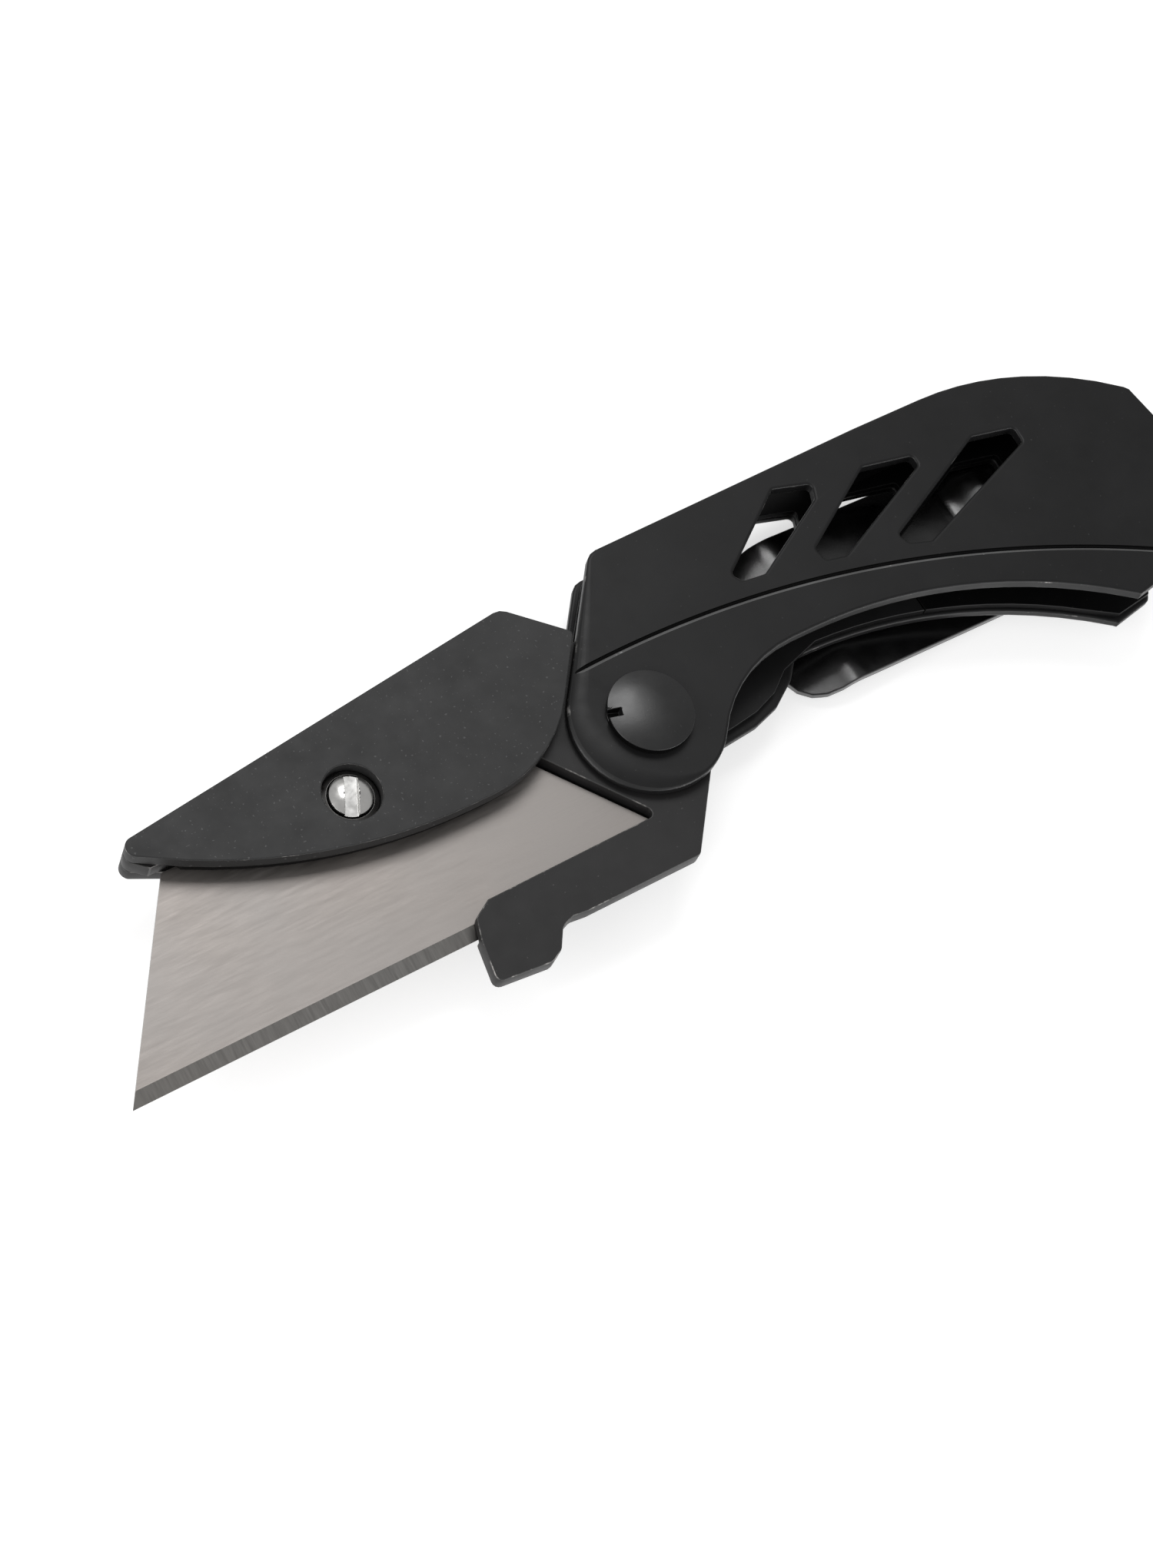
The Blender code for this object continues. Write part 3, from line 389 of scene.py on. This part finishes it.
def flatten_shading(piece):
    """Makes the large faces shade flat beside the small rounded ones."""
    weighted = piece.modifiers.new("weighted normals", "WEIGHTED_NORMAL")
    weighted.keep_sharp = True
    weighted.weight = 100


def engrave(piece, materials):
    """Cuts the engraved line along the front scale, in two materials that come after the piece's own two: a
    dark coating on its walls as painted shade, and a light coating on its lower wall as a painted highlight.
    """
    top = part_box("front_scale")[1][2]
    work = bmesh.new()
    rows = []
    for i in range(GROOVE_STEPS + 1):
        angle = (GROOVE_START + (GROOVE_END - GROOVE_START) * i / GROOVE_STEPS - GROOVE_TOP[0]) / GROOVE_R
        row = []
        for across, height in GROOVE:
            reach = GROOVE_R + across
            x, y = GROOVE_TOP[0] + reach * sin(angle), GROOVE_TOP[1] - GROOVE_R + reach * cos(angle)
            place = PIVOT + Vector((x, y, 0.0)) * MM + Vector((0.0, 0.0, top + height * MM))
            row.append(work.verts.new(place))
        rows.append(row)
    for a, b in zip(rows, rows[1:]):
        for i in range(len(GROOVE)):
            j = (i + 1) % len(GROOVE)
            # The lower wall (material 3) takes the light coating as a painted highlight; the other walls
            # (material 2) take the dark coating as painted shade.
            work.faces.new((a[i], b[i], b[j], a[j])).material_index = 3 if i == 1 else 2
    work.faces.new(rows[0])
    work.faces.new(rows[-1])
    bmesh.ops.recalc_face_normals(work, faces=work.faces)
    mesh = bpy.data.meshes.new("engraving")
    work.to_mesh(mesh)
    work.free()
    for material in materials:
        piece.data.materials.append(material)
    for material in piece.data.materials:
        mesh.materials.append(material)
    carve(piece, new_piece("engraving", mesh))


def lathe(name, profile, center, steps=96):
    """A solid of revolution about Z. The profile is (radius, z) in metres, top to bottom on its outside."""
    work = bmesh.new()
    rings = []
    for radius, z in profile:
        if radius < 1e-7:
            rings.append([work.verts.new((center.x, center.y, z))])
            continue
        angles = [2 * pi * i / steps for i in range(steps)]
        ring = [(center.x + radius * cos(a), center.y + radius * sin(a), z) for a in angles]
        rings.append([work.verts.new(place) for place in ring])
    pairs = list(zip(rings, rings[1:]))
    if profile[0][0] > 1e-7:
        pairs.append((rings[-1], rings[0]))
    for upper, lower in pairs:
        for i in range(steps):
            j = (i + 1) % steps
            corners = [upper[i % len(upper)], lower[i % len(lower)]]
            corners += [lower[j % len(lower)], upper[j % len(upper)]]
            work.faces.new(list(dict.fromkeys(corners)))
    bmesh.ops.recalc_face_normals(work, faces=work.faces)
    mesh = bpy.data.meshes.new(name)
    work.to_mesh(mesh)
    work.free()
    return new_piece(name, mesh)


def prism(name, corners, bottom, top):
    """An upright prism over the corners, given in metres."""
    work = bmesh.new()
    face = work.faces.new([work.verts.new((x, y, bottom)) for x, y in corners])
    made = bmesh.ops.extrude_face_region(work, geom=[face])["geom"]
    bmesh.ops.translate(work, verts=[v for v in made if isinstance(v, bmesh.types.BMVert)],
                        vec=(0.0, 0.0, top - bottom))
    bmesh.ops.recalc_face_normals(work, faces=work.faces)
    mesh = bpy.data.meshes.new(name)
    work.to_mesh(mesh)
    work.free()
    return new_piece(name, mesh)


def carve(piece, cutter):
    """Cuts the cutter out of the piece, and removes it."""
    boolean = piece.modifiers.new("carve", "BOOLEAN")
    boolean.operation = "DIFFERENCE"
    boolean.solver = "EXACT"
    boolean.object = cutter
    graph = bpy.context.evaluated_depsgraph_get()
    mesh = bpy.data.meshes.new_from_object(piece.evaluated_get(graph))
    piece.modifiers.clear()
    piece.data = mesh
    bpy.data.objects.remove(cutter, do_unlink=True)


def turned_rectangle(center, long, wide, angle, shift=0.0):
    """Corners of a rectangle whose long side lies at angle, moved along it by shift."""
    turn = radians(angle)
    corners = [(shift - long / 2, -wide / 2), (shift + long / 2, -wide / 2),
               (shift + long / 2, wide / 2), (shift - long / 2, wide / 2)]
    placed = []
    for x, y in corners:
        placed.append((center.x + x * cos(turn) - y * sin(turn), center.y + x * sin(turn) + y * cos(turn)))
    return placed


def node_box(node):
    low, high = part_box(node)
    return Vector(low), Vector(high)


def domed(radius, rim, top, pieces=16):
    """The profile of a ball-shaped head, from its middle to its side."""
    high = top - rim
    ball = (radius ** 2 + high ** 2) / (2 * high)
    half = asin(radius / ball)
    angles = [half * i / pieces for i in range(pieces + 1)]
    return [(ball * sin(a), top - ball * (1 - cos(a))) for a in angles]


def make_pivot_screw(materials):
    low, high = node_box("pivot_screw")
    center = (low + high) / 2
    radius = (high.x - low.x) / 2
    seat = high.z - PIVOT_HEAD[0] * MM
    rim = seat + PIVOT_HEAD[1] * MM
    shank = PIVOT_SHANK_R * MM
    profile = domed(radius, rim, high.z)
    profile += [(radius - 0.1 * MM, seat), (shank, seat), (shank, low.z), (0.0, low.z)]
    piece = lathe("pivot_screw_fine", profile, center)
    deep, wide = PIVOT_NOTCH[0] * MM, PIVOT_NOTCH[1] * MM
    long = 3.0 * MM
    notch = turned_rectangle(center, long, wide, PIVOT_NOTCH_ANGLE, -radius + deep - long / 2)
    carve(piece, prism("notch", notch, seat + 0.1 * MM, high.z + MM))
    install(piece, ["pivot_screw"], materials, 0.06, limit=TURNED_SHARP)
    # Painted shade: the undercut wall below the rim, the notch's floor and the seat take the dark coating,
    # standing in for the shade under the head's overhang.
    for polygon in piece.data.polygons:
        if polygon.center.z < rim - 0.02 * MM:
            polygon.material_index = 2


def make_blade_screw(materials):
    low, high = node_box("blade_screw")
    center = (low + high) / 2
    radius = (high.x - low.x) / 2
    seat = high.z - BLADE_HEAD[0] * MM
    rim = seat + BLADE_HEAD[1] * MM
    shank = BLADE_SHANK_R * MM
    profile = domed(radius, rim, high.z)
    profile += [(radius, seat), (shank, seat), (shank, low.z), (0.0, low.z)]
    piece = lathe("blade_screw_fine", profile, center)
    long, wide, deep = DRIVER_SLOT
    slot = turned_rectangle(center, long * MM, wide * MM, DRIVER_SLOT_ANGLE)
    floor = high.z - deep * MM
    carve(piece, prism("slot", slot, floor, high.z + MM))
    install(piece, ["blade_screw"], materials, 0.05, limit=TURNED_SHARP)
    for polygon in piece.data.polygons:
        if abs(polygon.center.z - floor) < 0.01 * MM:
            polygon.material_index = 2


def make_rear_screw(node, materials):
    """A button head with a six-sided socket, seen from the clip's side."""
    low, high = node_box(node)
    center = (low + high) / 2
    radius = (high.x - low.x) / 2
    seat = low.z + REAR_HEAD_HIGH * MM
    shank = REAR_SHANK_R * MM
    turns = [radians(a) for a in (0, 25, 50, 70)]
    crown = [(radius * cos(a), low.z + 0.22 * MM + 0.28 * MM * (1 - sin(a))) for a in turns]
    profile = [(0.0, high.z), (shank, high.z), (shank, seat), (radius, seat)] + crown
    profile += [(radius * 0.3, low.z), (0.0, low.z)]
    piece = lathe(node + "_fine", profile, center)
    wide, deep = REAR_SOCKET[0] * MM, REAR_SOCKET[1] * MM
    corners = [radians(60 * i) for i in range(6)]
    socket = [(center.x + wide * cos(a), center.y + wide * sin(a)) for a in corners]
    carve(piece, prism("socket", socket, low.z - MM, low.z + deep))
    install(piece, [node], materials, 0.05, limit=TURNED_SHARP)


def make_turned(node, inner, materials, width=0.05, waist=None, fall=0.0):
    """A plain ring or pin. waist is (radius, z) where a wider flange ends, and fall is how far the top
    slopes down outwards."""
    low, high = node_box(node)
    center = (low + high) / 2
    radius = (high.x - low.x) / 2
    outer = [(radius, high.z - fall), (radius, low.z)]
    if waist:
        outer = [(waist[0], high.z), waist, (radius, waist[1]), (radius, low.z)]
    profile = [(inner, high.z)] + outer + [(inner, low.z)]
    install(lathe(node + "_fine", profile, center), [node], materials, width)


def smooth_line(points, rounds):
    """Cuts the corners of a line, keeping its two ends."""
    for _ in range(rounds):
        cut = [points[0]]
        for (ax, az), (bx, bz) in zip(points, points[1:]):
            cut.append((0.75 * ax + 0.25 * bx, 0.75 * az + 0.25 * bz))
            cut.append((0.25 * ax + 0.75 * bx, 0.25 * az + 0.75 * bz))
        points = cut + [points[-1]]
    return points


def plan_limits(x):
    """The clip's lowest and highest y at x, between the rows of the plan."""
    for (ax, a_low, a_high), (bx, b_low, b_high) in zip(CLIP_PLAN, CLIP_PLAN[1:]):
        if bx <= x <= ax:
            share = (ax - x) / (ax - bx)
            return a_low + (b_low - a_low) * share, a_high + (b_high - a_high) * share
    end = CLIP_PLAN[0] if x > CLIP_PLAN[0][0] else CLIP_PLAN[-1]
    return end[1], end[2]


def clip_stations():
    """The clip's smooth middle line with a point at each row of the plan."""
    line = smooth_line(CLIP_LINE, 2)
    stations = list(line)
    for row in CLIP_PLAN:
        for (ax, az), (bx, bz) in zip(line, line[1:]):
            if bx < row[0] < ax:
                stations.append((row[0], az + (bz - az) * (ax - row[0]) / (ax - bx)))
    stations = sorted(set(stations), reverse=True)
    spaced = [stations[0]]
    for point in stations[1:]:
        if spaced[-1][0] - point[0] > CLIP_SPACING:
            spaced.append(point)
    return spaced


def make_clip(materials):
    """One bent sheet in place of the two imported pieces; it bends at its root."""
    stations = clip_stations()
    half = CLIP_THICK / 2
    work = bmesh.new()
    upper, lower = [], []
    for i, (x, z) in enumerate(stations):
        ax, az = stations[max(i - 1, 0)]
        bx, bz = stations[min(i + 1, len(stations) - 1)]
        long = hypot(bx - ax, bz - az)
        nx, nz = (bz - az) / long, -(bx - ax) / long
        y_low, y_high = plan_limits(x)
        ys = [y_low + (y_high - y_low) * j / CLIP_ACROSS for j in range(CLIP_ACROSS + 1)]
        rows = []
        for side in (1, -1):
            places = [(x + side * nx * half, y, z + side * nz * half) for y in ys]
            rows.append([work.verts.new(PIVOT + Vector(p) * MM) for p in places])
        upper.append(rows[0])
        lower.append(rows[1])
    for grid in (upper, lower):
        for a, b in zip(grid, grid[1:]):
            for j in range(CLIP_ACROSS):
                work.faces.new((a[j], b[j], b[j + 1], a[j + 1]))
    rim, under = [
        [row[0] for row in grid] + grid[-1][1:-1] + [row[-1] for row in grid[::-1]] + grid[0][-2:0:-1]
        for grid in (upper, lower)
    ]
    for i in range(len(rim)):
        j = (i + 1) % len(rim)
        work.faces.new((rim[i], rim[j], under[j], under[i]))
    bmesh.ops.recalc_face_normals(work, faces=work.faces)
    mesh = bpy.data.meshes.new("clip_fine")
    work.to_mesh(mesh)
    work.free()
    piece = new_piece("clip_fine", mesh)
    install(piece, ["clip_base", "clip_arm"], materials, 0.14, body=False, limit=50.0)
    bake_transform(piece)


def make_blade(flat, ground):
    """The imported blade; the faces ground along its edge have their own finish."""
    piece = refined("blade", [flat, ground], 0.02)
    piece.modifiers.clear()
    for polygon in piece.data.polygons:
        polygon.use_smooth = False
        leaning = abs(polygon.normal.z) < 0.995
        polygon.material_index = 1 if leaning else 0


def make_floor():
    """A plain white table that is lit from within a little, so that the shadows on it are faint."""
    size = 6.0
    mesh = bpy.data.meshes.new("floor")
    corners = [(-size, -size, 0.0), (size, -size, 0.0), (size, size, 0.0), (-size, size, 0.0)]
    mesh.from_pydata(corners, [], [(0, 1, 2, 3)])
    floor = new_piece("floor", mesh)
    material, nodes, links = new_material("pale floor")
    shader = nodes["Principled BSDF"]
    shader.inputs["Roughness"].default_value = 0.9
    shader.inputs["Specular IOR Level"].default_value = 0.1
    shader.inputs["Emission Color"].default_value = (1.0, 1.0, 1.0, 1.0)
    shader.inputs["Emission Strength"].default_value = 0.62
    tint = remap(nodes, links, noise(nodes, links, 4.0), 0.3, 0.7)
    color = blend_colors(nodes, links, tint, (0.60, 0.60, 0.60), (0.63, 0.63, 0.63))
    links.new(color, shader.inputs["Base Color"])
    mesh.materials.append(material)


def area_light(name, location, target, size, power):
    data = bpy.data.lights.new(name, "AREA")
    data.shape = "RECTANGLE"
    data.size, data.size_y = size
    data.energy = power
    lamp = bpy.data.objects.new(name, data)
    lamp.location = location
    lamp.rotation_euler = (Vector(target) - Vector(location)).to_track_quat("-Z", "Y").to_euler()
    bpy.context.scene.collection.objects.link(lamp)


def make_light():
    world = bpy.data.worlds.new("studio")
    world.use_nodes = True
    background = world.node_tree.nodes["Background"]
    background.inputs["Color"].default_value = (1.0, 1.0, 1.0, 1.0)
    background.inputs["Strength"].default_value = 0.40
    bpy.context.scene.world = world
    area_light("key", (0.080, 0.25, 0.47), (0.0, 0.0, 0.0), (0.24, 0.24), 1.0)
    area_light("left", (-0.50, 0.02, 0.26), (0.0, 0.0, 0.0), (0.34, 0.34), 1.5)
    area_light("front", (0.15, -0.50, 0.16), (0.0, 0.0, 0.0), (0.5, 0.2), 1.3)
    bpy.context.scene.view_settings.view_transform = "Standard"
    bpy.context.scene.view_settings.look = "None"


def make_camera():
    data = bpy.data.cameras.new("camera")
    data.sensor_width = 36.0
    data.lens = 78.36
    data.clip_start = 0.01
    data.clip_end = 20.0
    camera = bpy.data.objects.new("camera", data)
    camera.location = (-0.155035, -0.092148, 0.288992)
    camera.rotation_euler = (radians(27.722), radians(-14.022), radians(-33.116))
    bpy.context.scene.collection.objects.link(camera)
    bpy.context.scene.camera = camera


def dress_knife():
    handle = coating("handle coating", (0.0080, 0.0080, 0.0083), 0.44, specular=0.26)
    carrier = coating("carrier coating", (0.0125, 0.0120, 0.0123), 0.46, specular=0.32)
    fin = coating("fin coating", (0.0202, 0.0202, 0.0205), 0.52, specular=0.35, specks=0.755)
    # Painted shade: a much darker coating put on the liner, the clamp plate, the spacer, the side walls of
    # the inner plates, the groove's walls and the pivot head's under-rim. It stands in for the shade inside
    # gaps and recesses.
    inner = coating("painted shade coating", (0.0025, 0.0025, 0.0026), 0.50, specular=0.10)
    gloss = coating("clip coating", (0.0030, 0.0030, 0.0032), 0.21, specular=0.85)
    pivot = coating("pivot coating", (0.0080, 0.0080, 0.0083), 0.33, specular=0.62)
    # Painted highlight and wear: these rim coatings are lighter than the faces they edge, standing in for the
    # light lines that the rounded rims catch. They also have chips of bare metal where they are worn.
    edge = coating("handle edge sheen and wear", (0.0120, 0.0120, 0.0122), 0.40, specular=0.45, worn=0.10)
    carrier_edge_sheen_and_wear = coating("carrier edge sheen and wear", (0.0300, 0.0296, 0.0290), 0.38, specular=0.50, worn=0.38)
    # Painted highlight: a light coating for the groove's lower wall, standing in for the light that this wall
    # catches.
    engraved = coating("engraved line", (0.130, 0.130, 0.130), 0.40, specular=0.5)
    clean_edge = coating("coated edge", (0.0090, 0.0090, 0.0093), 0.30, specular=0.40)
    flat = ground_steel("blade flat", (0.290, 0.272, 0.260), 0.47, (0.25, 2.6, 2.6), 0.0004)
    ground = ground_steel("blade ground edge", (0.25, 0.244, 0.235), 0.36, (4.0, 0.3, 0.3), 0.0008)
    bright = plated("bright plating", (0.78, 0.77, 0.75), 0.20)
    satin = plated("satin plating", (0.50, 0.497, 0.487), 0.45)
    # Painted shade: this plating is much darker than the screw's, standing in for the shade deep in the blade
    # screw's window.
    shade_darkened = plated("dull plating", (0.20, 0.195, 0.19), 0.30)
    brass = plated("brass", (0.62, 0.44, 0.18), 0.3)
    front = rolled_plate("front_scale", [handle, edge], (0.32, 0.22), wider=pivot_roll)
    engrave(front, [inner, engraved])
    plates = [front, rolled_plate("rear_scale", [handle, edge], (0.32, 0.22), (0.60, 0.50))]
    for node, material in (("lock_liner", inner), ("lock_leaf", handle), ("clamp_plate", inner)):
        plates.append(rolled_plate(node, [material, inner, clean_edge], (0.08, 0.08), (0.06, 0.06)))
    plates.append(rolled_plate("front_cover", [fin, carrier_edge_sheen_and_wear], (0.13, 0.11)))
    for plate in plates:
        flatten_shading(plate)
    refined("back_spacer", [inner, clean_edge], 0.07)
    for node in ("carrier_body", "rear_plate"):
        refined(node, [carrier, carrier_edge_sheen_and_wear], 0.09)
    make_blade(flat, ground)
    make_pivot_screw([pivot, pivot, inner])
    make_blade_screw([bright, bright, satin])
    for node in ("clip_screw_1", "clip_screw_2", "spacer_screw_1", "spacer_screw_2", "spacer_screw_3"):
        make_rear_screw(node, [gloss, clean_edge])
    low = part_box("pivot_barrel")[0][2]
    make_turned("pivot_barrel", 1.45 * MM, [gloss, clean_edge], 0.12, waist=(2.0 * MM, low + 0.8 * MM))
    # The ring under the blade screw takes the darkened plating as painted shade.
    make_turned("screw_ring", 2.3 * MM, [shade_darkened, shade_darkened], fall=0.25 * MM)
    make_turned("blade_nut", 1.4 * MM, [bright, bright])
    for node in ("front_washer", "rear_washer"):
        make_turned(node, 2.15 * MM, [brass, brass], 0.02)
    make_turned("stop_pin", 0.0, [bright, bright])
    for node in ("carrier_rivet_1", "carrier_rivet_2", "carrier_rivet_3"):
        make_turned(node, 0.0, [gloss, clean_edge], 0.06)
    refined("detent_ball", [bright, bright], 0.01, limit=80.0)
    make_clip([gloss, clean_edge])


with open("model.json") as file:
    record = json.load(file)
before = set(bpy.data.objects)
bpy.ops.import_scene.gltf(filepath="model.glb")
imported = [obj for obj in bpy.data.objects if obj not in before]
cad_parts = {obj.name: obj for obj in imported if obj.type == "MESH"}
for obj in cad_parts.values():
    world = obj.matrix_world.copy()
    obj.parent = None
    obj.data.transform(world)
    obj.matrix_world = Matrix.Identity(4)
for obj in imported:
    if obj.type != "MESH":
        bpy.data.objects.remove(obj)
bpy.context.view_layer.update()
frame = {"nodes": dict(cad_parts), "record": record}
make_camera()
make_light()
make_floor()
dress_knife()
